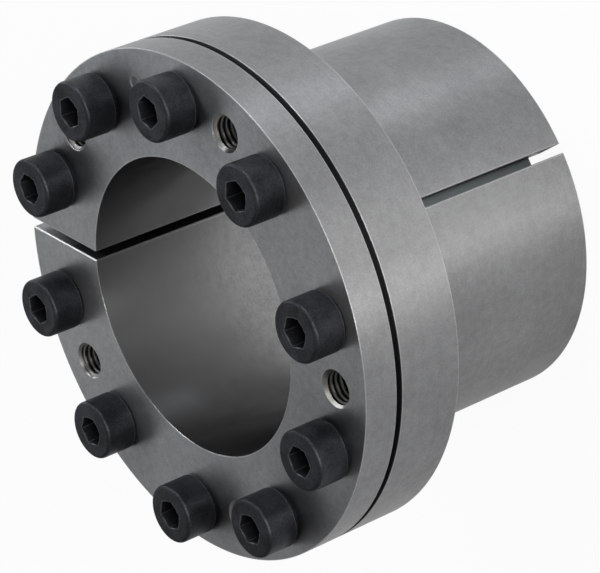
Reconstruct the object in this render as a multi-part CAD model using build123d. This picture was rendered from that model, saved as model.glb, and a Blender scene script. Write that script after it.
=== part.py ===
from build123d import *
import math
import os

# Keyless shaft locking assembly: a slit inner ring with a tapered sleeve is drawn into a slit
# outer ring by a circle of socket head screws, so the bore closes on the shaft while the
# barrel grows into the hub. Millimetres. Origin at the centre of the barrel's end face,
# +Z along the bore axis towards the screw heads.

# Main rings. The ring depth is the metal of both, from the bore out to the barrel
BORE_D = 65.0
RING_DEPTH = 9.5
FLANGE_T = 8.0
COLLAR_T = 15.0
BARREL_LEN = 48.5
# Open gap between flange and collar before the screws are pulled up
GAP = 1.4

# The taper runs between the sleeve's thin end and the barrel's thinnest wall, at the collar
SLEEVE_END_WALL = 2.0
BARREL_ROOT_WALL = 3.7
SLEEVE_RECESS = 3.0
# Play across the taper before clamping, square to the axis
TAPER_CLEARANCE = 0.15

# Slits, cut right through one wall of each ring
INNER_SLIT_W = 2.0
OUTER_SLIT_W = 2.0
SLIT_LIP = 0.35

# Edge breaks
RIM_CHAMFER = 0.3
BORE_CHAMFER = 0.35
BARREL_CHAMFER = 0.4

# Clamping screws on one circle, just outside the barrel and just inside the rim
SCREW_COUNT = 10
SCREW_TO_BARREL = 0.5
RIM_TO_HEAD = 2.5
SCREW_D = 8.0
SCREW_LEN = 20.0
HEAD_D = 13.0
HEAD_H = 8.0
HEAD_ROUND = 0.8
HEAD_FOOT_CHAMFER = 0.3
TIP_CHAMFER = 1.0
SOCKET_AF = 6.0
SOCKET_DEPTH = 4.5
SOCKET_MOUTH = 0.25
THREAD_CLEARANCE = 0.05
FLANGE_HOLE_CLEARANCE = 0.5
HOLE_CHAMFER = 0.4

# Holes tapped for the same screws, midway between them, to jack the rings apart
TAP_ALLOWANCE = 1.2
JACK_MOUTH_MARGIN = 0.2

# Small drilled mark beside one screw, a little outside the bolt circle
MARK_D = 3.2
MARK_DEPTH = 1.6
MARK_OFFSET = 1.7

# Positions round the bolt circle, counted in steps from one screw to the next
INNER_SLIT_STEP = 7.5
OUTER_SLIT_STEP = 3.5
FIRST_JACK_STEP = 0.5
JACK_EVERY = 2
MARK_STEP = 5.5

# How far each socket has been left turned by the key, in degrees
SOCKET_TURNS = (50, 45, 30, 45, 55, 15, 0, 25, 5, 40)

# Levels and radii that follow from the sizes above
COLLAR_REAR_Z = BARREL_LEN
COLLAR_FRONT_Z = COLLAR_REAR_Z + COLLAR_T
FLANGE_REAR_Z = COLLAR_FRONT_Z + GAP
FLANGE_FRONT_Z = FLANGE_REAR_Z + FLANGE_T
BORE_R = BORE_D / 2
BARREL_R = BORE_R + RING_DEPTH
BOLT_R = BARREL_R + SCREW_TO_BARREL + SCREW_D / 2
FLANGE_R = BOLT_R + HEAD_D / 2 + RIM_TO_HEAD
STEP_ANGLE = 360 / SCREW_COUNT
SLEEVE_END_R = BORE_R + SLEEVE_END_WALL
SLEEVE_ROOT_R = BARREL_R - BARREL_ROOT_WALL - TAPER_CLEARANCE
TAPER = (SLEEVE_ROOT_R - SLEEVE_END_R) / (COLLAR_REAR_Z - SLEEVE_RECESS)
# Cutters reach this far past the faces that they open
OVERRUN = 1.0


def sleeve_radius(z):
    """Outside radius of the tapered sleeve at height z."""
    return SLEEVE_END_R + TAPER * (z - SLEEVE_RECESS)


def cone_radius(z):
    """Radius of the outer ring's inside taper at height z."""
    return sleeve_radius(z) + TAPER_CLEARANCE


def turned(*profile):
    """A ring turned from its half section, given as (radius, z) corners."""
    corners = [(r, 0, z) for r, z in profile]
    return revolve(make_face(Polyline(*corners, close=True)), Axis.Z)


def on_circle(step, radius, z=0.0):
    """A place on a circle round the bore, with local X pointing outwards."""
    return Rot(0, 0, step * STEP_ANGLE) * Pos(radius, 0, z)


def prism(corners, plane, length):
    """A straight bar of the section drawn by corners, length long from the plane."""
    section = plane * make_face(Polyline(*corners, close=True))
    return extrude(section, length, dir=plane.z_dir)


def drilled(radius, depth, mouth_radius):
    """Cutter for a round hole that goes depth down from z = 0, with a 45 degree mouth."""
    flare = mouth_radius + OVERRUN
    return turned(
        (0, -depth), (radius, -depth), (radius, radius - mouth_radius),
        (flare, OVERRUN), (0, OVERRUN),
    )


def jack_steps():
    """Steps of the bolt circle that carry a jacking hole."""
    return [FIRST_JACK_STEP + JACK_EVERY * k for k in range(SCREW_COUNT // JACK_EVERY)]


def inner_slit():
    """Cutter for the saw cut through flange and sleeve, with broken lips."""
    half = INNER_SLIT_W / 2
    reach = FLANGE_R + OVERRUN
    length = FLANGE_FRONT_Z + 2 * OVERRUN
    saw = Pos(0, 0, -OVERRUN) * extrude(
        make_face(Polyline((0, -half), (reach, -half), (reach, half), (0, half), close=True)),
        length,
    )
    # The groove's section stands across the slit, at the flange face
    face_groove = prism(
        ((-half - SLIT_LIP - OVERRUN, OVERRUN), (-half, -SLIT_LIP), (half, -SLIT_LIP),
         (half + SLIT_LIP + OVERRUN, OVERRUN)),
        Plane(origin=(0, 0, FLANGE_FRONT_Z), x_dir=(0, 1, 0), z_dir=(1, 0, 0)),
        reach,
    )
    bore_groove = Pos(0, 0, -OVERRUN) * extrude(
        make_face(Polyline(
            (BORE_R - OVERRUN, -half - SLIT_LIP - OVERRUN), (BORE_R + SLIT_LIP, -half),
            (BORE_R + SLIT_LIP, half), (BORE_R - OVERRUN, half + SLIT_LIP + OVERRUN),
            close=True,
        )),
        length,
    )
    return Rot(0, 0, INNER_SLIT_STEP * STEP_ANGLE) * (saw + face_groove + bore_groove)


def outer_slit():
    """Cutter for the saw cut through the barrel, which stops at the collar."""
    half = OUTER_SLIT_W / 2
    reach = BARREL_R + OVERRUN
    length = COLLAR_REAR_Z + OVERRUN
    saw = Pos(0, 0, -OVERRUN) * extrude(
        make_face(Polyline((0, -half), (reach, -half), (reach, half), (0, half), close=True)),
        length,
    )
    lip_groove = Pos(0, 0, -OVERRUN) * extrude(
        make_face(Polyline(
            (BARREL_R + OVERRUN, -half - SLIT_LIP - OVERRUN), (BARREL_R - SLIT_LIP, -half),
            (BARREL_R - SLIT_LIP, half), (BARREL_R + OVERRUN, half + SLIT_LIP + OVERRUN),
            close=True,
        )),
        length,
    )
    return Rot(0, 0, OUTER_SLIT_STEP * STEP_ANGLE) * (saw + lip_groove)


def inner_ring():
    """Flange and tapered sleeve in one piece, slit along its whole length."""
    ring = turned(
        (BORE_R, SLEEVE_RECESS + BORE_CHAMFER),
        (BORE_R + BORE_CHAMFER, SLEEVE_RECESS),
        (sleeve_radius(SLEEVE_RECESS), SLEEVE_RECESS),
        (sleeve_radius(FLANGE_REAR_Z), FLANGE_REAR_Z),
        (FLANGE_R - RIM_CHAMFER, FLANGE_REAR_Z),
        (FLANGE_R, FLANGE_REAR_Z + RIM_CHAMFER),
        (FLANGE_R, FLANGE_FRONT_Z - RIM_CHAMFER),
        (FLANGE_R - RIM_CHAMFER, FLANGE_FRONT_Z),
        (BORE_R + BORE_CHAMFER, FLANGE_FRONT_Z),
        (BORE_R, FLANGE_FRONT_Z - BORE_CHAMFER),
    )
    screw_hole_r = SCREW_D / 2 + FLANGE_HOLE_CLEARANCE
    screw_hole = drilled(screw_hole_r, FLANGE_T + OVERRUN, screw_hole_r + HOLE_CHAMFER)
    jack_hole = drilled(
        (SCREW_D - TAP_ALLOWANCE) / 2, FLANGE_T + OVERRUN, SCREW_D / 2 + JACK_MOUTH_MARGIN
    )
    mark = Cone(0, MARK_D / 2, MARK_DEPTH, align=(Align.CENTER, Align.CENTER, Align.MAX))
    cutters = [inner_slit()]
    cutters += [on_circle(k, BOLT_R, FLANGE_FRONT_Z) * screw_hole for k in range(SCREW_COUNT)]
    cutters += [on_circle(step, BOLT_R, FLANGE_FRONT_Z) * jack_hole for step in jack_steps()]
    cutters.append(on_circle(MARK_STEP, BOLT_R + MARK_OFFSET, FLANGE_FRONT_Z) * mark)
    return ring - cutters


def outer_ring():
    """Closed collar and slit barrel in one piece, tapered inside to suit the sleeve."""
    ring = turned(
        (cone_radius(0), 0),
        (BARREL_R - BARREL_CHAMFER, 0),
        (BARREL_R, BARREL_CHAMFER),
        (BARREL_R, COLLAR_REAR_Z),
        (FLANGE_R - RIM_CHAMFER, COLLAR_REAR_Z),
        (FLANGE_R, COLLAR_REAR_Z + RIM_CHAMFER),
        (FLANGE_R, COLLAR_FRONT_Z - RIM_CHAMFER),
        (FLANGE_R - RIM_CHAMFER, COLLAR_FRONT_Z),
        (cone_radius(COLLAR_FRONT_Z), COLLAR_FRONT_Z),
    )
    tapped_r = SCREW_D / 2 + THREAD_CLEARANCE
    tapped_hole = drilled(tapped_r, COLLAR_T + OVERRUN, tapped_r + HOLE_CHAMFER)
    cutters = [outer_slit()]
    cutters += [on_circle(k, BOLT_R, COLLAR_FRONT_Z) * tapped_hole for k in range(SCREW_COUNT)]
    return ring - cutters


def screw(turn):
    """Socket head cap screw seated at z = 0, its socket left turned by turn degrees."""
    head_r = HEAD_D / 2
    shank_r = SCREW_D / 2
    # The head's top edge is a quarter round, so the half section has one arc
    outline = [
        Line((0, 0, HEAD_H), (head_r - HEAD_ROUND, 0, HEAD_H)),
        TangentArc((head_r - HEAD_ROUND, 0, HEAD_H), (head_r, 0, HEAD_H - HEAD_ROUND),
                   tangent=(1, 0, 0)),
        Polyline(
            (head_r, 0, HEAD_H - HEAD_ROUND),
            (head_r, 0, HEAD_FOOT_CHAMFER),
            (head_r - HEAD_FOOT_CHAMFER, 0, 0),
            (shank_r, 0, 0),
            (shank_r, 0, TIP_CHAMFER - SCREW_LEN),
            (shank_r - TIP_CHAMFER, 0, -SCREW_LEN),
            (0, 0, -SCREW_LEN),
            (0, 0, HEAD_H),
        ),
    ]
    body = revolve(make_face(outline), Axis.Z)
    corner_r = SOCKET_AF / math.sqrt(3)
    hexagon = Rot(0, 0, turn) * RegularPolygon(corner_r, 6)
    socket = Pos(0, 0, HEAD_H - SOCKET_DEPTH) * extrude(hexagon, SOCKET_DEPTH + OVERRUN)
    mouth_depth = corner_r + SOCKET_MOUTH - SOCKET_AF / 2
    mouth = Pos(0, 0, HEAD_H) * Cone(
        SOCKET_AF / 2, corner_r + SOCKET_MOUTH, mouth_depth,
        align=(Align.CENTER, Align.CENTER, Align.MAX),
    )
    return body - socket - mouth


def save(solid, node):
    """Write one piece to its own file under parts."""
    solid.label = node
    export_step(solid, f"parts/{node}.step")


os.makedirs("parts", exist_ok=True)
save(inner_ring(), "inner_ring")
save(outer_ring(), "outer_ring")
for k in range(SCREW_COUNT):
    left_turned = SOCKET_TURNS[k % len(SOCKET_TURNS)] - k * STEP_ANGLE
    save(on_circle(k, BOLT_R, FLANGE_FRONT_Z) * screw(left_turned), f"screw_{k + 1:02d}")
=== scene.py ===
# %% [markdown]
# # Shaft locking assembly
#
# A keyless shaft lock is a pair of slit steel rings with mating tapers and a circle of black
# cap screws. The measured CAD model gives every size and place. This notebook models the same
# pieces again with softer edges, real threads and lathe marks, and then lights them.

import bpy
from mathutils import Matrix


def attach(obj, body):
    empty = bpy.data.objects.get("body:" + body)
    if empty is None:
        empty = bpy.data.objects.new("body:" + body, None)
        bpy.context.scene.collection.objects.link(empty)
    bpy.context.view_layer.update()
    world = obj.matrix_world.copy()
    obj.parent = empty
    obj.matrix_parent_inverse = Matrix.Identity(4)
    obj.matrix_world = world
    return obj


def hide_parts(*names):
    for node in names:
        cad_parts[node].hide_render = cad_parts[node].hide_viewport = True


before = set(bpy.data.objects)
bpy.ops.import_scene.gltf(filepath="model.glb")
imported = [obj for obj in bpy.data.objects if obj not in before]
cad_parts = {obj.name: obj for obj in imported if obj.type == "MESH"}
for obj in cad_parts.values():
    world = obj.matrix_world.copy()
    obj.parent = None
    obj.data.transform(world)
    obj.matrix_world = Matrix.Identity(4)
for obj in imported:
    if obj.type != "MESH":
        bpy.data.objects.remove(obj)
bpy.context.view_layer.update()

# %% Blender's modules
import math

import bmesh
import bpy
from mathutils import Matrix, Vector

scene = bpy.context.scene
print("Blender", bpy.app.version_string)

# %% [markdown]
# ## Turning a ring
#
# Both rings come off a lathe. A lathe part could be lofted or bent from a tube, but a half
# section spun round the axis is how it is really made: a few corners are drawn, each is broken
# by a small bevel, and the wire is spun. The work is done in millimetres, because Boolean cuts
# are cleaner on numbers near one, and the finished mesh is scaled to metres.

# %% Draw a half section and break its corners
SAME_PLACE = 0.001


def half_section(corners):
    """A closed wire in the XZ plane through (radius, height) corners."""
    bm = bmesh.new()
    points = [bm.verts.new((radius, 0, height)) for radius, height in corners]
    for here, there in zip(points, points[1:] + points[:1]):
        bm.edges.new((here, there))
    return bm


def break_corners(bm, corners, size, segments):
    """Bevel the wire's points that lie on these corners."""
    places = [Vector((radius, 0, height)) for radius, height in corners]
    picked = [v for v in bm.verts if any((v.co - place).length < SAME_PLACE for place in places)]
    bmesh.ops.bevel(
        bm, geom=picked, offset=size, segments=segments, profile=0.5,
        affect="VERTICES", material=-1,
    )


# %% Spin the wire into a solid
MERGE_WITHIN = 0.0005


def spin_round(bm, steps):
    """Turn the wire once round the Z axis, and close its seam and poles."""
    bmesh.ops.spin(
        bm, geom=bm.verts[:] + bm.edges[:], cent=(0, 0, 0), axis=(0, 0, 1),
        angle=math.tau, steps=steps, use_merge=True,
    )
    bmesh.ops.remove_doubles(bm, verts=bm.verts[:], dist=MERGE_WITHIN)
    bmesh.ops.recalc_face_normals(bm, faces=bm.faces[:])


def as_object(bm, name):
    """Hand a finished bmesh to the scene."""
    mesh = bpy.data.meshes.new(name)
    bm.to_mesh(mesh)
    bm.free()
    made = bpy.data.objects.new(name, mesh)
    scene.collection.objects.link(made)
    return made


# %% A ring's blank from its six corners
RING_STEPS = 240
SOFT_BREAK = 0.15
CRISP_BREAK = 0.09
BREAK_SEGMENTS = 3


def ring_blank(corners, name):
    """Turn a ring; its front rim is left crisper than the other corners."""
    bore_end, outer_end, _, rear_rim, front_rim, bore_mouth = corners
    wire = half_section(corners)
    break_corners(wire, [rear_rim], SOFT_BREAK, BREAK_SEGMENTS)
    break_corners(wire, [front_rim], CRISP_BREAK, BREAK_SEGMENTS)
    break_corners(wire, [bore_end, outer_end, bore_mouth], SOFT_BREAK, BREAK_SEGMENTS)
    spin_round(wire, RING_STEPS)
    return as_object(wire, name)


# %% The inner ring's blank
BORE_R = 32.5
FLANGE_R = 55.5
FLANGE_BACK = 64.9
FLANGE_FRONT = 72.9
SLEEVE_END = 3.0
SLEEVE_END_R = 34.5
SLEEVE_ROOT_R = 39.465

inner_ring = ring_blank([
    (BORE_R, SLEEVE_END),
    (SLEEVE_END_R, SLEEVE_END),
    (SLEEVE_ROOT_R, FLANGE_BACK),
    (FLANGE_R, FLANGE_BACK),
    (FLANGE_R, FLANGE_FRONT),
    (BORE_R, FLANGE_FRONT),
], "flanged_inner_ring")
print("Inner ring blank:", len(inner_ring.data.polygons), "faces")

# %% The outer ring's blank
BARREL_R = 42.0
COLLAR_BACK = 48.5
COLLAR_FRONT = 63.5
TAPER_PLAY = 0.15
TAPER = (SLEEVE_ROOT_R - SLEEVE_END_R) / (FLANGE_BACK - SLEEVE_END)


def cone_r(height):
    """Radius of the outer ring's inside taper."""
    return SLEEVE_END_R + TAPER * (height - SLEEVE_END) + TAPER_PLAY


outer_ring = ring_blank([
    (cone_r(0), 0),
    (BARREL_R, 0),
    (BARREL_R, COLLAR_BACK),
    (FLANGE_R, COLLAR_BACK),
    (FLANGE_R, COLLAR_FRONT),
    (cone_r(COLLAR_FRONT), COLLAR_FRONT),
], "collared_outer_ring")
print("Outer ring blank:", len(outer_ring.data.polygons), "faces")

# %% [markdown]
# ## Thread forms
#
# A thread could be faked with a bump map, but these holes are seen from the side and their
# ridges catch the light. One pitch of the thread's outline is spun with a rise at every step,
# so that each turn starts where the last one ended. Two flat cuts square off the ends. The
# same form is the screw's shank and, a little larger, the tap that cuts the holes.

# %% Square off an end
CUT_TOLERANCE = 0.00001
RIM_TOLERANCE = 0.0001


def square_off(bm, height, side):
    """Cut a rod at a height, throw away what lies on one side, and close the rim."""
    bmesh.ops.bisect_plane(
        bm, geom=bm.verts[:] + bm.edges[:] + bm.faces[:], dist=CUT_TOLERANCE,
        plane_co=(0, 0, height), plane_no=(0, 0, side), clear_outer=True,
    )
    rim = [edge for edge in bm.edges if edge.is_boundary
           and all(abs(v.co.z - height) < RIM_TOLERANCE for v in edge.verts)]
    bmesh.ops.edgeloop_fill(bm, edges=rim)


# %% A threaded rod
THREAD_PITCH = 1.25
THREAD_FLANK = 0.39
THREAD_STEPS = 28


def threaded_rod(root_r, crest_r, crest_flat, low, high):
    """Closed right-hand thread between two heights; its phase is the same at any length."""
    root_flat = THREAD_PITCH - 2 * THREAD_FLANK - crest_flat
    turns = math.ceil((high - low) / THREAD_PITCH) + 2
    start = (math.floor(low / THREAD_PITCH) - 1) * THREAD_PITCH - root_flat / 2
    outline = [
        (root_r, 0),
        (root_r, root_flat),
        (crest_r, root_flat + THREAD_FLANK),
        (crest_r, root_flat + THREAD_FLANK + crest_flat),
        (root_r, THREAD_PITCH),
    ]
    bm = bmesh.new()
    points = [bm.verts.new((radius, 0, start + rise)) for radius, rise in outline]
    for here, there in zip(points, points[1:]):
        bm.edges.new((here, there))
    bmesh.ops.spin(
        bm, geom=bm.verts[:] + bm.edges[:], cent=(0, 0, 0), axis=(0, 0, 1),
        dvec=(0, 0, THREAD_PITCH / THREAD_STEPS), angle=math.tau * turns,
        steps=THREAD_STEPS * turns,
    )
    bmesh.ops.remove_doubles(bm, verts=bm.verts[:], dist=MERGE_WITHIN)
    square_off(bm, low, side=-1)
    square_off(bm, high, side=1)
    bmesh.ops.recalc_face_normals(bm, faces=bm.faces[:])
    return bm


print("Thread pitch in millimetres:", THREAD_PITCH)

# %% [markdown]
# ## Cutting the rings
#
# The slits, holes and mouths are made as on the machine, by tools that take metal away. Each
# tool is a small closed solid, and one exact Boolean takes a whole tray of them at once. The
# result is stored as a plain mesh and the tools are thrown away.

# %% Take a tray of tools away from a blank
def cut_away(blank, tools, operation="DIFFERENCE"):
    """Apply one Boolean of all the tools to the blank, then delete them."""
    tray = bpy.data.collections.new("tool_tray")
    scene.collection.children.link(tray)
    for tool in tools:
        scene.collection.objects.unlink(tool)
        tray.objects.link(tool)
    cut = blank.modifiers.new("cut", "BOOLEAN")
    cut.operation = operation
    cut.operand_type = "COLLECTION"
    cut.collection = tray
    cut.solver = "EXACT"
    seen = blank.evaluated_get(bpy.context.evaluated_depsgraph_get())
    machined = bpy.data.meshes.new_from_object(seen)
    blank.modifiers.clear()
    blank.data = machined
    for tool in tools:
        bpy.data.objects.remove(tool)
    bpy.data.collections.remove(tray)


# %% Put a tool where it cuts
SCREW_COUNT = 10
BOLT_R = 46.5


def turned_by(step):
    """Turn about the Z axis, counted in steps from one screw to the next."""
    return Matrix.Rotation(math.tau * step / SCREW_COUNT, 4, "Z")


def on_bolt_circle(step, height, radius=BOLT_R):
    """A place on the bolt circle at a height."""
    return turned_by(step) @ Matrix.Translation((radius, 0, height))


def placed(bm, place, name):
    """Move a tool to its place and hand it over as an object."""
    bmesh.ops.transform(bm, matrix=place, verts=bm.verts[:])
    return as_object(bm, name)


# %% A drill with a countersink
HOLE_STEPS = 64
OVERRUN = 1.0


def drill(radius, mouth_r, depth):
    """Round cutter from the surface at z = 0 down, with a 45 degree mouth."""
    flare = mouth_r + OVERRUN
    bm = half_section([
        (0, -depth), (radius, -depth), (radius, radius - mouth_r), (flare, OVERRUN), (0, OVERRUN),
    ])
    spin_round(bm, HOLE_STEPS)
    return bm


# %% A saw, and a vee cutter for its lips
def saw(width, near_r, far_r, low, high):
    """Flat blade that stands along +X."""
    bm = bmesh.new()
    bmesh.ops.create_cube(bm, size=1)
    bmesh.ops.scale(bm, vec=(far_r - near_r, width, high - low), verts=bm.verts[:])
    middle = ((far_r + near_r) / 2, 0, (high + low) / 2)
    bmesh.ops.translate(bm, vec=middle, verts=bm.verts[:])
    return bm


def vee(edge, along, outwards, width, lip):
    """Triangular bar that breaks both lips of a slit; edge is where its middle line starts."""
    side = along.cross(outwards).normalized()
    half = width / 2 + lip
    bm = bmesh.new()
    points = [
        bm.verts.new(edge - half * outwards),
        bm.verts.new(edge + OVERRUN * outwards + (half + OVERRUN) * side),
        bm.verts.new(edge + OVERRUN * outwards - (half + OVERRUN) * side),
    ]
    end = bm.faces.new(points)
    grown = bmesh.ops.extrude_face_region(bm, geom=[end])["geom"]
    moved = [part for part in grown if isinstance(part, bmesh.types.BMVert)]
    bmesh.ops.translate(bm, vec=along, verts=moved)
    bmesh.ops.recalc_face_normals(bm, faces=bm.faces[:])
    return bm


# %% Saw through the inner ring
SLIT_W = 2.0
SLIT_LIP = 0.2
SAW_OVERRUN = 2.0
INNER_SLIT_STEP = 7.5

UP = Vector((0, 0, 1))
OUT = Vector((1, 0, 0))
blade = saw(
    SLIT_W, BORE_R - SAW_OVERRUN, FLANGE_R + SAW_OVERRUN,
    SLEEVE_END - SAW_OVERRUN, FLANGE_FRONT + SAW_OVERRUN,
)
across_face = FLANGE_R - BORE_R + 2 * SAW_OVERRUN
along_rim = FLANGE_FRONT - FLANGE_BACK + 2 * OVERRUN
along_bore = FLANGE_FRONT - SLEEVE_END + 2 * OVERRUN
face_start = Vector((BORE_R - SAW_OVERRUN, 0, FLANGE_FRONT))
rim_start = Vector((FLANGE_R, 0, FLANGE_BACK - OVERRUN))
bore_start = Vector((BORE_R, 0, SLEEVE_END - OVERRUN))
inner_tools = [
    placed(tool, turned_by(INNER_SLIT_STEP), "slit_tool") for tool in (
        blade,
        vee(face_start, across_face * OUT, UP, SLIT_W, SLIT_LIP),
        vee(rim_start, along_rim * UP, OUT, SLIT_W, SLIT_LIP),
        vee(bore_start, along_bore * UP, -OUT, SLIT_W, SLIT_LIP),
    )
]
print("Inner slit at", 360 * INNER_SLIT_STEP / SCREW_COUNT, "degrees")

# %% Drill the screws' clearance holes
CLEARANCE_R = 4.5
CLEARANCE_MOUTH_R = 4.9
CLEARANCE_DEPTH = 10

for k in range(SCREW_COUNT):
    clearance = drill(CLEARANCE_R, CLEARANCE_MOUTH_R, CLEARANCE_DEPTH)
    inner_tools.append(placed(clearance, on_bolt_circle(k, FLANGE_FRONT), "clearance_drill"))
print("Clearance holes:", SCREW_COUNT)

# %% Tap the jacking holes
JACK_STEPS = (0.5, 2.5, 4.5, 6.5, 8.5)
JACK_DRILL_R = 3.35
JACK_MOUTH_R = 4.12
JACK_MOUTH_DEPTH = 1.2
JACK_TAP = {"root_r": 3.4, "crest_r": 4.05, "crest_flat": 0.16, "low": -9, "high": 1}

for step in JACK_STEPS:
    mouth = drill(JACK_DRILL_R, JACK_MOUTH_R, JACK_MOUTH_DEPTH)
    inner_tools.append(placed(mouth, on_bolt_circle(step, FLANGE_FRONT), "mouth_tool"))
    tap = threaded_rod(**JACK_TAP)
    inner_tools.append(placed(tap, on_bolt_circle(step, FLANGE_FRONT), "tap"))
print("Jacking holes:", len(JACK_STEPS))

# %% Drill the small mark and cut the inner ring
MARK_STEP = 5.5
MARK_PLACE_R = 48.2
MARK_R = 1.6
MARK_FLOOR_R = 1.35
MARK_DEPTH = 0.25
MARK_FLOOR_RISE = 0.05

mark = half_section([
    (0, -MARK_DEPTH), (MARK_FLOOR_R, -MARK_DEPTH + MARK_FLOOR_RISE), (MARK_R, 0),
    (MARK_R + OVERRUN, OVERRUN), (0, OVERRUN),
])
spin_round(mark, HOLE_STEPS)
mark_place = on_bolt_circle(MARK_STEP, FLANGE_FRONT, radius=MARK_PLACE_R)
inner_tools.append(placed(mark, mark_place, "mark_tool"))
cut_away(inner_ring, inner_tools)
print("Inner ring:", len(inner_ring.data.polygons), "faces")

# %% Cut the outer ring
OUTER_SLIT_STEP = 3.5
COLLAR_DRILL_R = 3.4
COLLAR_MOUTH_R = 4.45
COLLAR_MOUTH_DEPTH = 1.5
COLLAR_TAP = {"root_r": 3.5, "crest_r": 4.1, "crest_flat": 0.24, "low": -26, "high": -9}

blade = saw(SLIT_W, BORE_R, BARREL_R + OVERRUN, -OVERRUN, COLLAR_BACK)
lip_start = Vector((BARREL_R, 0, -OVERRUN))
lip_vee = vee(lip_start, (COLLAR_BACK + OVERRUN) * UP, OUT, SLIT_W, SLIT_LIP)
outer_tools = [placed(tool, turned_by(OUTER_SLIT_STEP), "slit_tool") for tool in (blade, lip_vee)]
for k in range(SCREW_COUNT):
    mouth = drill(COLLAR_DRILL_R, COLLAR_MOUTH_R, COLLAR_MOUTH_DEPTH)
    outer_tools.append(placed(mouth, on_bolt_circle(k, COLLAR_FRONT), "mouth_tool"))
    tap = threaded_rod(**COLLAR_TAP)
    outer_tools.append(placed(tap, on_bolt_circle(k, FLANGE_FRONT), "tap"))
cut_away(outer_ring, outer_tools)
print("Outer ring:", len(outer_ring.data.polygons), "faces")

# %% [markdown]
# ## Cap screws
#
# The heads are forged and turned: a plain black cylinder with a rounded top edge, a narrow foot
# and a hexagon for the key. The hexagon could be inset by hand, but a six-sided cutter with a
# cone at its mouth leaves the curved bright lips that the real countersink has. The head is
# made once and copied, with its hexagon turned as the key left it, and every shank keeps its
# thread in step with the hole that it runs in.

# %% The head
HEAD_R = 6.5
HEAD_H = 8.0
HEAD_ROUND = 0.8
ROUND_SEGMENTS = 6
FOOT_STEP = 0.6
FOOT_H = 0.9

head_top = (HEAD_R, HEAD_H)
wire = half_section([(0, 0), (HEAD_R - FOOT_STEP, 0), (HEAD_R, FOOT_H), head_top, (0, HEAD_H)])
break_corners(wire, [head_top], size=HEAD_ROUND, segments=ROUND_SEGMENTS)
spin_round(wire, HOLE_STEPS)
head = as_object(wire, "head")
print("Head blank:", len(head.data.polygons), "faces")

# %% The hexagon
HEX_FLATS = 6.0
HEX_DEPTH = 4.5

hex_corner_r = HEX_FLATS / math.sqrt(3)
hexagon = bmesh.new()
bmesh.ops.create_cone(
    hexagon, cap_ends=True, segments=6, radius1=hex_corner_r, radius2=hex_corner_r,
    depth=HEX_DEPTH + OVERRUN,
)
to_socket = Matrix.Translation((0, 0, HEAD_H - (HEX_DEPTH - OVERRUN) / 2))
first_corner = Matrix.Rotation(math.radians(90), 4, "Z")
hex_tool = placed(hexagon, to_socket @ first_corner, "hex_tool")
corners = [v.co for v in hex_tool.data.vertices if v.co.z > HEAD_H]
print("First hexagon corner at", round(math.degrees(math.atan2(corners[0].y, corners[0].x)), 1))

# %% Its countersink and the drill point below it
COUNTERSINK = 0.14
POINT_R = 2.6
POINT_DEPTH = 1.2
POINT_OVERLAP = 0.1

mouth_r = HEX_FLATS / 2 + COUNTERSINK
countersink = half_section([
    (0, -OVERRUN), (mouth_r - OVERRUN, -OVERRUN), (mouth_r + OVERRUN, OVERRUN), (0, OVERRUN),
])
spin_round(countersink, HOLE_STEPS)
point_top = -HEX_DEPTH + POINT_OVERLAP
point = half_section([(0, -HEX_DEPTH - POINT_DEPTH), (POINT_R, point_top), (0, point_top)])
spin_round(point, HOLE_STEPS)
top = Matrix.Translation((0, 0, HEAD_H))
cut_away(head, [hex_tool, placed(countersink, top, "countersink"), placed(point, top, "point")])
print("Screw head:", len(head.data.polygons), "faces")

# %% The shank
SHANK_L = 20.0
SHANK_THREAD = {"root_r": 3.35, "crest_r": 3.95, "crest_flat": 0.16, "low": -SHANK_L, "high": 0.3}
SHANK_IN_HEAD = 0.2
ENVELOPE_R = 4.1
TIP_R = 3.0

shank = as_object(threaded_rod(**SHANK_THREAD), "shank")
envelope = half_section([
    (0, -SHANK_L), (TIP_R, -SHANK_L), (ENVELOPE_R, -SHANK_L + ENVELOPE_R - TIP_R),
    (ENVELOPE_R, SHANK_IN_HEAD), (0, SHANK_IN_HEAD),
])
spin_round(envelope, HOLE_STEPS)
cut_away(shank, [as_object(envelope, "envelope")], operation="INTERSECT")
print("Screw shank:", len(shank.data.polygons), "faces")

# %% Ten screws, each with its own turn of the key
KEY_TURNS = (50, 45, 30, 45, 55, 15, 0, 25, 5, 40)

screws = []
for k, turn in enumerate(KEY_TURNS):
    bm = bmesh.new()
    bm.from_mesh(head.data)
    square_to_hole = turn - 360 * k / SCREW_COUNT
    bmesh.ops.rotate(
        bm, matrix=Matrix.Rotation(math.radians(square_to_hole), 3, "Z"), verts=bm.verts[:],
    )
    bm.from_mesh(shank.data)
    screws.append(placed(bm, on_bolt_circle(k, FLANGE_FRONT), f"cap_screw_{k + 1:02d}"))
for pattern in (head, shank):
    bpy.data.objects.remove(pattern)
print("Screws made:", len(screws))

# %% [markdown]
# ## Smooth but crisp
#
# Turned faces have to look round while the chamfers stay sharp. A Subdivision modifier would
# round everything, so the faces are shaded smooth, edges over a set angle are marked sharp, and
# Weighted Normal lets the large flat faces win over the small bevels.

# %% Scale to metres and set the shading
MM = 0.001
SHARP_ANGLE = math.radians(30)


def finish_shading(piece):
    """Scale the mesh to metres, and give it smooth faces with sharp edges between them."""
    bm = bmesh.new()
    bm.from_mesh(piece.data)
    bmesh.ops.scale(bm, vec=(MM, MM, MM), verts=bm.verts[:])
    bm.to_mesh(piece.data)
    bm.free()
    piece.data.polygons.foreach_set("use_smooth", [True] * len(piece.data.polygons))
    piece.data.set_sharp_from_angle(angle=SHARP_ANGLE)
    weighted = piece.modifiers.new("weighted", "WEIGHTED_NORMAL")
    weighted.keep_sharp = True


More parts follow.
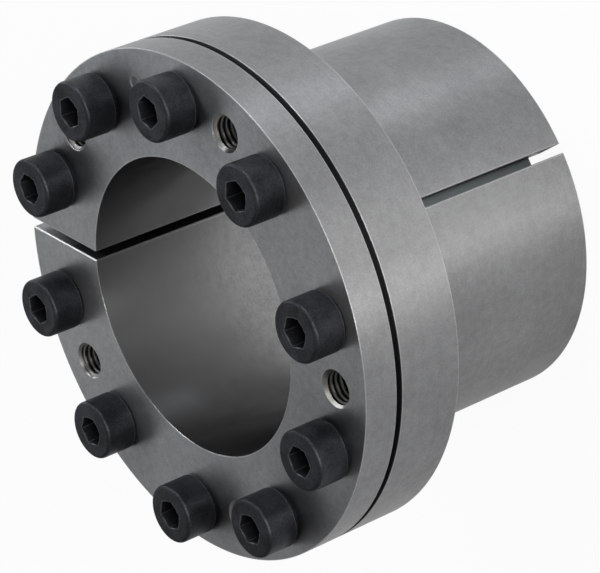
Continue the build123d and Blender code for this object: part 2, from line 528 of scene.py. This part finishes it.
pieces = (inner_ring, outer_ring, *screws)
for piece in pieces:
    finish_shading(piece)
print("Triangles:", sum(len(p.vertices) - 2 for piece in pieces for p in piece.data.polygons))

# %% [markdown]
# ## Lathe lines
#
# A turning tool leaves fine grooves that run round the part, so faces show rings and cylinders
# show hoops. An image could hold them, but a noise that changes fast along the radius and the
# height, and slowly round the axis, gives both from Object coordinates alone. It is a node
# group, as every effect here is, so that any other turned finish can use it.

# %% Helpers for node trees
def add_node(tree, kind, **settings):
    """Add a node and set its properties."""
    made = tree.nodes.new(kind)
    for name, value in settings.items():
        setattr(made, name, value)
    return made


def maths(tree, operation, first, second=0.0):
    """A Math node; each input is a number or a socket."""
    made = add_node(tree, "ShaderNodeMath", operation=operation)
    for socket, value in zip(made.inputs, (first, second)):
        if isinstance(value, (int, float)):
            socket.default_value = value
        else:
            tree.links.new(value, socket)
    return made.outputs[0]


def place_on_piece(tree):
    """X, Y and Z of a point on its piece in metres, and its distance from the Z axis."""
    place = add_node(tree, "ShaderNodeTexCoord")
    axes = add_node(tree, "ShaderNodeSeparateXYZ")
    tree.links.new(place.outputs["Object"], axes.inputs[0])
    x, y, z = axes.outputs
    squares = maths(tree, "ADD", maths(tree, "MULTIPLY", x, x), maths(tree, "MULTIPLY", y, y))
    return x, y, z, maths(tree, "SQRT", squares)


# %% Start a node group
def new_group(name, inputs, outputs):
    """A node group with number sockets; returns it with its input and output nodes."""
    group = bpy.data.node_groups.new(name, "ShaderNodeTree")
    for socket in inputs:
        group.interface.new_socket(socket, in_out="INPUT", socket_type="NodeSocketFloat")
    for socket in outputs:
        group.interface.new_socket(socket, in_out="OUTPUT", socket_type="NodeSocketFloat")
    return group, add_node(group, "NodeGroupInput"), add_node(group, "NodeGroupOutput")


# %% The lathe line group
def make_lathe_lines():
    """Node group: lines round the Z axis, from 0 to 1."""
    group, given, out = new_group("lathe_lines", ("Lines per metre", "Drift"), ("Lines",))
    x, y, z, radius = place_on_piece(group)
    scaled = add_node(group, "ShaderNodeCombineXYZ")
    fineness = given.outputs["Lines per metre"]
    drift = given.outputs["Drift"]
    group.links.new(maths(group, "MULTIPLY", radius, fineness), scaled.inputs[0])
    group.links.new(maths(group, "MULTIPLY", z, fineness), scaled.inputs[1])
    across = maths(group, "MULTIPLY", maths(group, "DIVIDE", x, radius), drift)
    group.links.new(across, scaled.inputs[2])
    noise = add_node(group, "ShaderNodeTexNoise", noise_dimensions="4D")
    noise.inputs["Scale"].default_value = 1
    noise.inputs["Detail"].default_value = 3
    group.links.new(scaled.outputs[0], noise.inputs["Vector"])
    around = maths(group, "MULTIPLY", maths(group, "DIVIDE", y, radius), drift)
    group.links.new(around, noise.inputs["W"])
    group.links.new(noise.outputs[0], out.inputs["Lines"])
    return group


lathe_lines = make_lathe_lines()
print("Node group:", lathe_lines.name)

# %% [markdown]
# ## Patches and grain
#
# Oiled steel that has been picked up is never even: there are cloudy patches where the oil film
# is thicker, blotches from fingers, and a fine speckle from the metal itself. All of them are
# noises that differ only in size, so one group serves them, with a contrast that pushes the
# noise apart and a seed that moves it. On the rings the seed of the large patches is picked so
# that their lighter and darker places also stand in for light and shade.

# %% The patches group
def make_patches():
    """Node group: soft patches from 0 to 1."""
    group, given, out = new_group(
        "patches", ("Patches per metre", "Contrast", "Seed"), ("Patches",),
    )
    place = add_node(group, "ShaderNodeTexCoord")
    noise = add_node(group, "ShaderNodeTexNoise", noise_dimensions="4D")
    noise.inputs["Detail"].default_value = 3
    group.links.new(place.outputs["Object"], noise.inputs["Vector"])
    group.links.new(given.outputs["Patches per metre"], noise.inputs["Scale"])
    group.links.new(given.outputs["Seed"], noise.inputs["W"])
    centred = maths(group, "SUBTRACT", noise.outputs[0], 0.5)
    spread = maths(group, "MULTIPLY", centred, given.outputs["Contrast"])
    lifted = add_node(group, "ShaderNodeMath", operation="ADD", use_clamp=True)
    group.links.new(spread, lifted.inputs[0])
    lifted.inputs[1].default_value = 0.5
    group.links.new(lifted.outputs[0], out.inputs["Patches"])
    return group


patches = make_patches()
print("Node group:", patches.name)

# %% [markdown]
# ## Worn edges with painted highlight
#
# Every edge of the rings shows as a thin bright line: partly wear, where handling rubs it
# smooth, and partly a painted highlight for the light that an edge catches. The Bevel node looks
# at the surface a hair's breadth around a point: where it finds another direction than the face
# has, there is an edge. This needs no painted mask and follows any cut.

# %% Map a mask to a range
def between(tree, mask, low, high, from_low=0, from_high=1):
    """Map a mask to numbers between low and high."""
    made = add_node(tree, "ShaderNodeMapRange")
    tree.links.new(mask, made.inputs["Value"])
    made.inputs["From Min"].default_value = from_low
    made.inputs["From Max"].default_value = from_high
    made.inputs["To Min"].default_value = low
    made.inputs["To Max"].default_value = high
    return made.outputs[0]


# %% The edge group
FULL_EDGE_MASK = 0.94
NO_EDGE_MASK = 0.997


def make_edge_wear_and_highlight():
    """Node group: 1 on an edge and 0 away from it."""
    group, given, out = new_group("edge_wear_and_highlight", ("Width",), ("Edges",))
    bevel = add_node(group, "ShaderNodeBevel", samples=4)
    group.links.new(given.outputs["Width"], bevel.inputs["Radius"])
    face = add_node(group, "ShaderNodeNewGeometry")
    agree = add_node(group, "ShaderNodeVectorMath", operation="DOT_PRODUCT")
    group.links.new(bevel.outputs[0], agree.inputs[0])
    group.links.new(face.outputs["Normal"], agree.inputs[1])
    edge = between(group, agree.outputs["Value"], 1, 0, from_low=FULL_EDGE_MASK, from_high=NO_EDGE_MASK)
    group.links.new(edge, out.inputs["Edges"])
    return group


edge_wear_and_highlight = make_edge_wear_and_highlight()
print("Node group:", edge_wear_and_highlight.name)

# %% [markdown]
# ## Painted shade between the rings, and the bore
#
# The narrow gap behind the flange, the slits and the faces between the mating tapers are
# painted dark as shade, since they lie in shadow between the parts. The bore was honed and
# wiped, so it is smoother than the rest and keeps only a thin warm film. A mask could be painted,
# but each face is told by its place alone: a height between the two rings, or a radius between
# the bore and the barrel.

# %% The ring place group
# The gap behind the flange and the faces between the tapers get painted shade.
GAP_BAND = (0.06335, 0.06505)
GAP_REACH = (0.0328, 0.0553)
TAPER_BAND = (0.0003, 0.0725)
TAPER_REACH = (0.0328, 0.0417)
BORE_REACH = 0.0326


def within(tree, value, limits):
    """1 where a value lies between two limits."""
    low, high = limits
    above = maths(tree, "GREATER_THAN", value, low)
    return maths(tree, "MULTIPLY", above, maths(tree, "LESS_THAN", value, high))


def make_ring_places():
    """Node group: which faces lie between the rings, which in the bore, and how high."""
    group, _, out = new_group("ring_places", (), ("Shaded gaps", "Bore", "Height"))
    _, _, height, radius = place_on_piece(group)
    gap = maths(group, "MULTIPLY", within(group, height, GAP_BAND),
                within(group, radius, GAP_REACH))
    taper = maths(group, "MULTIPLY", within(group, height, TAPER_BAND),
                  within(group, radius, TAPER_REACH))
    group.links.new(maths(group, "MAXIMUM", gap, taper), out.inputs["Shaded gaps"])
    group.links.new(maths(group, "LESS_THAN", radius, BORE_REACH), out.inputs["Bore"])
    group.links.new(height, out.inputs["Height"])
    return group


ring_places = make_ring_places()
print("Node group:", ring_places.name)

# %% [markdown]
# ## Tapped holes
#
# The bottoms of the thread are painted near black as shade, while the crests stay steel and the
# countersunk mouth is painted pale as a highlight. The five jacking holes stand evenly round the
# axis, so folding the angle makes one hole of them all, and the distance from that hole's middle
# tells mouth, crest and root.

# %% The tapped hole group
def make_tapped_holes():
    """Node group: how far a point lies from the middle of the nearest jacking hole."""
    group, _, out = new_group("tapped_holes", (), ("Metres off",))
    x, y, _, radius = place_on_piece(group)
    first = math.tau * JACK_STEPS[0] / SCREW_COUNT
    around = maths(group, "SUBTRACT", maths(group, "ARCTAN2", y, x), first)
    folded = maths(group, "PINGPONG", around, math.pi / len(JACK_STEPS))
    off = add_node(group, "ShaderNodeCombineXYZ")
    outwards = maths(group, "MULTIPLY", radius, maths(group, "COSINE", folded))
    group.links.new(maths(group, "SUBTRACT", outwards, BOLT_R * MM), off.inputs[0])
    group.links.new(maths(group, "MULTIPLY", radius, maths(group, "SINE", folded)), off.inputs[1])
    length = add_node(group, "ShaderNodeVectorMath", operation="LENGTH")
    group.links.new(off.outputs[0], length.inputs[0])
    group.links.new(length.outputs["Value"], out.inputs["Metres off"])
    return group


tapped_holes = make_tapped_holes()
print("Node group:", tapped_holes.name)

# %% [markdown]
# ## Turned steel
#
# Bare steel is a metal with a mid-grey colour, and its look comes from what it reflects. The
# grooves of the lathe stretch every highlight across themselves, which the shader does with
# Anisotropic and a tangent that runs round the axis. Patches, lathe lines and grain are added
# up to one tone: it shades the colour, and the lighter places are smoother too. Over that
# tone come the bore, the painted shade between the rings, the edges that are rubbed and painted
# bright, and the tapped holes with their painted highlight and shade, each by its mask.

# %% Put groups and colours in a material
def use_group(tree, group, values=()):
    """Add a node group with (socket, number) values, and return its outputs."""
    made = add_node(tree, "ShaderNodeGroup", node_tree=group)
    for name, value in values:
        made.inputs[name].default_value = value
    return made.outputs


def use_patches(tree, per_metre, contrast, seed):
    """The patches group with its own values."""
    values = (("Patches per metre", per_metre), ("Contrast", contrast), ("Seed", seed))
    return use_group(tree, patches, values)["Patches"]


def mixed(tree, mask, dark, light):
    """Mix two colours by a mask; each is a colour or a socket."""
    made = add_node(tree, "ShaderNodeMix", data_type="RGBA")
    tree.links.new(mask, made.inputs["Factor"])
    for socket, colour in ((made.inputs[6], dark), (made.inputs[7], light)):
        if isinstance(colour, tuple):
            socket.default_value = (*colour, 1)
        else:
            tree.links.new(colour, socket)
    return made.outputs[2]


# %% Add masks up, and make a bump of one
def weighed(tree, first, *others):
    """Add masks up; each is given with its share."""
    total = maths(tree, "MULTIPLY", *first)
    for mask, share in others:
        total = maths(tree, "ADD", total, maths(tree, "MULTIPLY", mask, share))
    return total


def bumped(tree, height, distance, strength):
    """A Bump node over a height mask."""
    made = add_node(tree, "ShaderNodeBump")
    made.inputs["Distance"].default_value = distance
    made.inputs["Strength"].default_value = strength
    tree.links.new(height, made.inputs["Height"])
    return made.outputs[0]


def new_material(name):
    """A material; returned with its node tree and its shader."""
    material = bpy.data.materials.new(name)
    material.use_nodes = True
    return material, material.node_tree, material.node_tree.nodes["Principled BSDF"]


# %% Which way the tool went
def round_axis(tree):
    """Direction round the Z axis of the piece, which is the way of the lathe lines."""
    place = add_node(tree, "ShaderNodeTexCoord")
    across = add_node(tree, "ShaderNodeVectorMath", operation="CROSS_PRODUCT")
    across.inputs[0].default_value = (0, 0, 1)
    tree.links.new(place.outputs["Object"], across.inputs[1])
    turned = add_node(tree, "ShaderNodeVectorTransform", vector_type="VECTOR")
    turned.convert_from = "OBJECT"
    turned.convert_to = "WORLD"
    tree.links.new(across.outputs[0], turned.inputs[0])
    unit = add_node(tree, "ShaderNodeVectorMath", operation="NORMALIZE")
    tree.links.new(turned.outputs[0], unit.inputs[0])
    return unit.outputs[0]


# %% The steel's colour away from the tapped holes
STEEL_DARK = (0.195, 0.198, 0.205)
STEEL_LIGHT = (0.405, 0.41, 0.415)
WARM_FILM = (0.16, 0.15, 0.12)
FILM_SHARE = 0.15
# Painted shade colour for the gap, the slits and the faces between the tapers.
GAP_SHADE = (0.145, 0.158, 0.163)


def steel_colour(tree, tone, places):
    """Steel by its tone, with the bore's film and painted shade on the faces between the rings.
    """
    clean = mixed(tree, tone, STEEL_DARK, STEEL_LIGHT)
    film = maths(tree, "MULTIPLY", places["Bore"], FILM_SHARE)
    wiped = mixed(tree, film, clean, WARM_FILM)
    return mixed(tree, places["Shaded gaps"], wiped, GAP_SHADE)


# %% Edges rubbed and painted bright, a painted highlight in the mouths, painted shade in the thread roots
EDGE_WIDTH = 0.0004
# Edge colour of the rings: partly rubbed wear, partly a painted highlight along every edge.
RUBBED_AND_HIGHLIGHT = (0.66, 0.66, 0.66)
HOLE_REACH = 0.00435
HOLE_BOTTOM = 0.0645
# The countersunk mouths of the jacking holes are painted pale as a highlight.
MOUTH_HIGHLIGHT = (0.40, 0.39, 0.365)
MOUTH_SHARE = 0.6
MOUTH_FADE = {"from_low": 0.0041, "from_high": 0.0043}
# The thread roots are painted near black as shade.
ROOT_SHADE = (0.03, 0.03, 0.03)
ROOT_FADE = {"from_low": 0.0034, "from_high": 0.0038}
FACE_FADE = {"from_low": 0.0720, "from_high": 0.0721}


def add_edges_and_holes(tree, colour, places):
    """Edges are rubbed and painted bright outside the jacking holes, whose mouths get a painted
    highlight and whose thread roots painted shade.
    """
    off_hole = use_group(tree, tapped_holes)["Metres off"]
    outside = maths(tree, "MAXIMUM", maths(tree, "GREATER_THAN", off_hole, HOLE_REACH),
                    maths(tree, "LESS_THAN", places["Height"], HOLE_BOTTOM))
    inside = maths(tree, "SUBTRACT", 1, outside)
    edges = use_group(tree, edge_wear_and_highlight, [("Width", EDGE_WIDTH)])["Edges"]
    # Edges outside the jacking holes are painted bright: wear and painted highlight.
    colour = mixed(tree, maths(tree, "MULTIPLY", edges, outside), colour, RUBBED_AND_HIGHLIGHT)
    mouths = between(tree, off_hole, MOUTH_SHARE, 0, **MOUTH_FADE)
    colour = mixed(tree, maths(tree, "MULTIPLY", inside, mouths), colour, MOUTH_HIGHLIGHT)
    roots = maths(tree, "MULTIPLY", between(tree, off_hole, 0, 1, **ROOT_FADE),
                  between(tree, places["Height"], 1, 0, **FACE_FADE))
    return mixed(tree, maths(tree, "MULTIPLY", roots, inside), colour, ROOT_SHADE)


# %% The steel
ROUGH_DARK = 0.43
ROUGH_LIGHT = 0.33
HONED = 0.15
GROOVE_DEPTH = 0.00001
GROOVE_STRENGTH = 0.5
STRETCHED = 0.75
QUARTER_TURN = 0.25


def make_turned_steel():
    """Satin turned steel with lathe lines, patches, grain and bright edges."""
    material, tree, shader = new_material("turned_steel")
    places = use_group(tree, ring_places)
    lines = use_group(tree, lathe_lines, (("Lines per metre", 2400), ("Drift", 1.2)))["Lines"]
    # Large patches: partly oil film, and partly painted highlight and shade, as the seed puts
    # lighter and darker patches where the light is brighter and darker.
    clouds = use_patches(tree, per_metre=22, contrast=3.0, seed=13.0)
    blotches = use_patches(tree, per_metre=140, contrast=2.5, seed=5.0)
    mottle = use_patches(tree, per_metre=550, contrast=3.5, seed=7.0)
    grain = use_patches(tree, per_metre=2600, contrast=4.5, seed=0.0)
    tone = weighed(tree, (lines, 0.25), (clouds, 0.27), (blotches, 0.12), (mottle, 0.16),
                   (grain, 0.2))
    colour = add_edges_and_holes(tree, steel_colour(tree, tone, places), places)
    tree.links.new(colour, shader.inputs["Base Color"])
    rough = maths(tree, "SUBTRACT", between(tree, tone, ROUGH_DARK, ROUGH_LIGHT),
                  maths(tree, "MULTIPLY", places["Bore"], HONED))
    tree.links.new(rough, shader.inputs["Roughness"])
    tree.links.new(bumped(tree, lines, GROOVE_DEPTH, GROOVE_STRENGTH), shader.inputs["Normal"])
    shader.inputs["Metallic"].default_value = 1
    shader.inputs["Anisotropic"].default_value = STRETCHED
    shader.inputs["Anisotropic Rotation"].default_value = QUARTER_TURN
    tree.links.new(round_axis(tree), shader.inputs["Tangent"])
    return material


turned_steel = make_turned_steel()
print("Material:", turned_steel.name, "with", len(turned_steel.node_tree.nodes), "nodes")

# %% [markdown]
# ## Black screws
#
# Black oxide is a thin dark skin on steel. It is darker and rougher than bare metal and turns
# bluish in the highlights. A dielectric black would look like plastic, so it keeps most of the
# metal's reflection with a very dark colour, and wears to a lighter grey on the edges.

# %% The black finish
OXIDE_DARK = (0.007, 0.0085, 0.0105)
OXIDE_LIGHT = (0.036, 0.039, 0.046)
OXIDE_WORN = (0.13, 0.135, 0.14)
OXIDE_ROUGH_DARK = 0.54
OXIDE_ROUGH_LIGHT = 0.42
OXIDE_GRAIN_DEPTH = 0.00001
OXIDE_GRAIN_STRENGTH = 0.3
OXIDE_METALLIC = 0.75


def make_black_oxide():
    """Dark blue-black satin finish of the cap screws."""
    material, tree, shader = new_material("black_screw")
    clouds = use_patches(tree, per_metre=220, contrast=3.5, seed=1.0)
    grain = use_patches(tree, per_metre=2600, contrast=4, seed=0.0)
    tone = weighed(tree, (clouds, 0.55), (grain, 0.45))
    colour = mixed(tree, tone, OXIDE_DARK, OXIDE_LIGHT)
    edges = use_group(tree, edge_wear_and_highlight, [("Width", EDGE_WIDTH)])["Edges"]
    tree.links.new(mixed(tree, edges, colour, OXIDE_WORN), shader.inputs["Base Color"])
    rough = between(tree, tone, OXIDE_ROUGH_DARK, OXIDE_ROUGH_LIGHT)
    tree.links.new(rough, shader.inputs["Roughness"])
    speckle = bumped(tree, grain, OXIDE_GRAIN_DEPTH, OXIDE_GRAIN_STRENGTH)
    tree.links.new(speckle, shader.inputs["Normal"])
    shader.inputs["Metallic"].default_value = OXIDE_METALLIC
    return material


black_screw = make_black_oxide()
print("Material:", black_screw.name, "with", len(black_screw.node_tree.nodes), "nodes")

# %% [markdown]
# ## Join the pieces to the mechanism
#
# Each piece stands for one measured node and rides on that node's body, so the screws turn and
# the flange slides as the real ones do. The finish slots let someone repaint the part.

# %% Dress, ride and replace
def fit(piece, node, material):
    """Give a piece its finish, and let it stand for a CAD node on the body of that name."""
    piece.data.materials.clear()
    piece.data.materials.append(material)
    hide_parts(node)
    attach(piece, node)


fit(inner_ring, "inner_ring", turned_steel)
fit(outer_ring, "outer_ring", turned_steel)
for k, screw in enumerate(screws):
    fit(screw, f"screw_{k + 1:02d}", black_screw)
print("Pieces in place:", len(pieces))

# %% [markdown]
# ## Floor, light and camera
#
# The photograph has a plain white ground. More lamps would bleach the metal with it, so the
# floor glows instead, for the camera, with a little ordinary white left in that keeps the
# shadow. Turned metal mirrors that floor: the glow is low in reflections, and full only on a disc
# under the bore, through which the ground shows; that disc is a painted reflection that makes the
# inside of the bore bright. The flat faces mirror the sky, so the world is a dark grey that grows
# lighter overhead.

# %% The floor's two surfaces
FLOOR_SIDE = 12.0
FLOOR_WHITE = (0.9, 0.9, 0.9, 1)
GLOW_SEEN = 0.93
GLOW_MIRRORED = 0.14
BORE_END_R = 0.034


def glow_share(tree):
    """How much of the floor is glow: much for the camera, some in mirrors and all of it on a
    painted-reflection disc under the bore, none as light.
    """
    rays = add_node(tree, "ShaderNodeLightPath")
    mirrored = maths(tree, "ADD", rays.outputs["Is Glossy Ray"],
                     rays.outputs["Is Transmission Ray"])
    place = add_node(tree, "ShaderNodeTexCoord")
    reach = add_node(tree, "ShaderNodeVectorMath", operation="LENGTH")
    tree.links.new(place.outputs["Object"], reach.inputs[0])
    # A disc of floor under the bore glows fully in reflections: a painted reflection that
    # brightens the inside of the bore.
    under_bore = maths(tree, "LESS_THAN", reach.outputs["Value"], BORE_END_R)
    in_mirrors = maths(tree, "MULTIPLY", mirrored, between(tree, under_bore, GLOW_MIRRORED, 1))
    seen = maths(tree, "MULTIPLY", rays.outputs["Is Camera Ray"], GLOW_SEEN)
    return maths(tree, "MAXIMUM", seen, in_mirrors)


# %% The floor
bm = bmesh.new()
bmesh.ops.create_grid(bm, x_segments=1, y_segments=1, size=FLOOR_SIDE / 2)
floor = as_object(bm, "floor")
floor_paint = bpy.data.materials.new("floor_paint")
floor_paint.use_nodes = True
tree = floor_paint.node_tree
tree.nodes.clear()
white = add_node(tree, "ShaderNodeBsdfDiffuse")
white.inputs["Color"].default_value = FLOOR_WHITE
glow = add_node(tree, "ShaderNodeEmission")
blend = add_node(tree, "ShaderNodeMixShader")
tree.links.new(glow_share(tree), blend.inputs[0])
tree.links.new(white.outputs[0], blend.inputs[1])
tree.links.new(glow.outputs[0], blend.inputs[2])
surface = add_node(tree, "ShaderNodeOutputMaterial")
tree.links.new(blend.outputs[0], surface.inputs["Surface"])
floor.data.materials.append(floor_paint)
print("Floor side in metres:", FLOOR_SIDE)

# %% The sky
SKY_LEVEL = (0.1, 0.1, 0.1, 1)
SKY_TOP = (0.35, 0.35, 0.35, 1)

world = bpy.data.worlds.new("studio")
world.use_nodes = True
scene.world = world
tree = world.node_tree
direction = add_node(tree, "ShaderNodeTexCoord")
axes = add_node(tree, "ShaderNodeSeparateXYZ")
tree.links.new(direction.outputs["Generated"], axes.inputs[0])
ramp = add_node(tree, "ShaderNodeValToRGB")
tree.links.new(axes.outputs[2], ramp.inputs[0])
sky = ramp.color_ramp
sky.elements[0].position = 0.0
sky.elements[0].color = SKY_LEVEL
sky.elements[1].position = 1.0
sky.elements[1].color = SKY_TOP
tree.links.new(ramp.outputs[0], tree.nodes["Background"].inputs["Color"])
print("Sky stops:", len(sky.elements))

# %% [markdown]
# A cylinder mirrors a lamp as a bright stripe, so each lamp is placed for the stripe that it
# makes: the key and the low lamp for the broad one along the middle of the barrel, the left
# lamp for the thin streak above it, and the upper and side lamps for the part that turns away
# at the top of the picture. The rear lamp shines in the flat faces. The two lamps near the
# camera are a little warm and the others a little cool.

# %% Soft boxes
AIM = Vector((0, 0, 0.04))
COOL = (0.93, 0.97, 1.0)
WARM = (1.0, 0.98, 0.95)


def soft_box(name, azimuth, height, distance, side, watts, tint):
    """Square area lamp that faces the part; azimuth and height are angles in degrees."""
    data = bpy.data.lights.new(name, "AREA")
    data.shape = "SQUARE"
    data.size = side
    data.energy = watts
    data.color = tint
    lamp = bpy.data.objects.new(name, data)
    lifted = Matrix.Rotation(math.radians(-height), 3, "Y") @ Vector((distance, 0, 0))
    lamp.location = AIM + Matrix.Rotation(math.radians(azimuth), 3, "Z") @ lifted
    lamp.rotation_euler = (AIM - lamp.location).to_track_quat("-Z", "Y").to_euler()
    scene.collection.objects.link(lamp)


soft_box("key", azimuth=127, height=26, distance=1.3, side=0.4, watts=7.5, tint=WARM)
soft_box("low", azimuth=101, height=10, distance=1.3, side=0.35, watts=6.5, tint=WARM)
soft_box("left", azimuth=183, height=12, distance=1.3, side=0.12, watts=6, tint=COOL)
soft_box("upper", azimuth=222, height=40, distance=1.3, side=0.4, watts=3, tint=COOL)
soft_box("side", azimuth=250, height=12, distance=1.3, side=0.4, watts=2.5, tint=COOL)
soft_box("rear", azimuth=288, height=38, distance=0.6, side=0.4, watts=0.29, tint=COOL)

# %% [markdown]
# The photograph was taken from the screw side with a long lens, and the assembly lay on its
# side. Here it stands on its barrel's end, as it is stored, so the camera takes the same place
# seen from the part and is rolled to match.

# %% The camera
CAMERA_AIM = Vector((0.004952, 0.000454, 0.043932))
CAMERA_AZIMUTH = math.radians(123.3857)
CAMERA_ELEVATION = math.radians(33.9678)
CAMERA_ROLL = math.radians(112.05)
CAMERA_DISTANCE = 0.662699
CAMERA_LENS = 187.739
SENSOR_WIDTH = 36
NEAREST = 0.01

back = Vector((
    math.cos(CAMERA_ELEVATION) * math.cos(CAMERA_AZIMUTH),
    math.cos(CAMERA_ELEVATION) * math.sin(CAMERA_AZIMUTH),
    math.sin(CAMERA_ELEVATION),
))
level_right = UP.cross(back).normalized()
level_up = back.cross(level_right)
up = math.cos(CAMERA_ROLL) * level_up + math.sin(CAMERA_ROLL) * level_right
right = up.cross(back)
lens = bpy.data.cameras.new("camera")
lens.lens = CAMERA_LENS
lens.sensor_width = SENSOR_WIDTH
lens.clip_start = NEAREST
camera = bpy.data.objects.new("camera", lens)
camera.matrix_world = Matrix.LocRotScale(
    CAMERA_AIM + CAMERA_DISTANCE * back, Matrix((right, up, back)).transposed(), None
)
scene.collection.objects.link(camera)
scene.camera = camera
scene.view_settings.view_transform = "Standard"
print("Camera at", [round(v, 3) for v in camera.location])
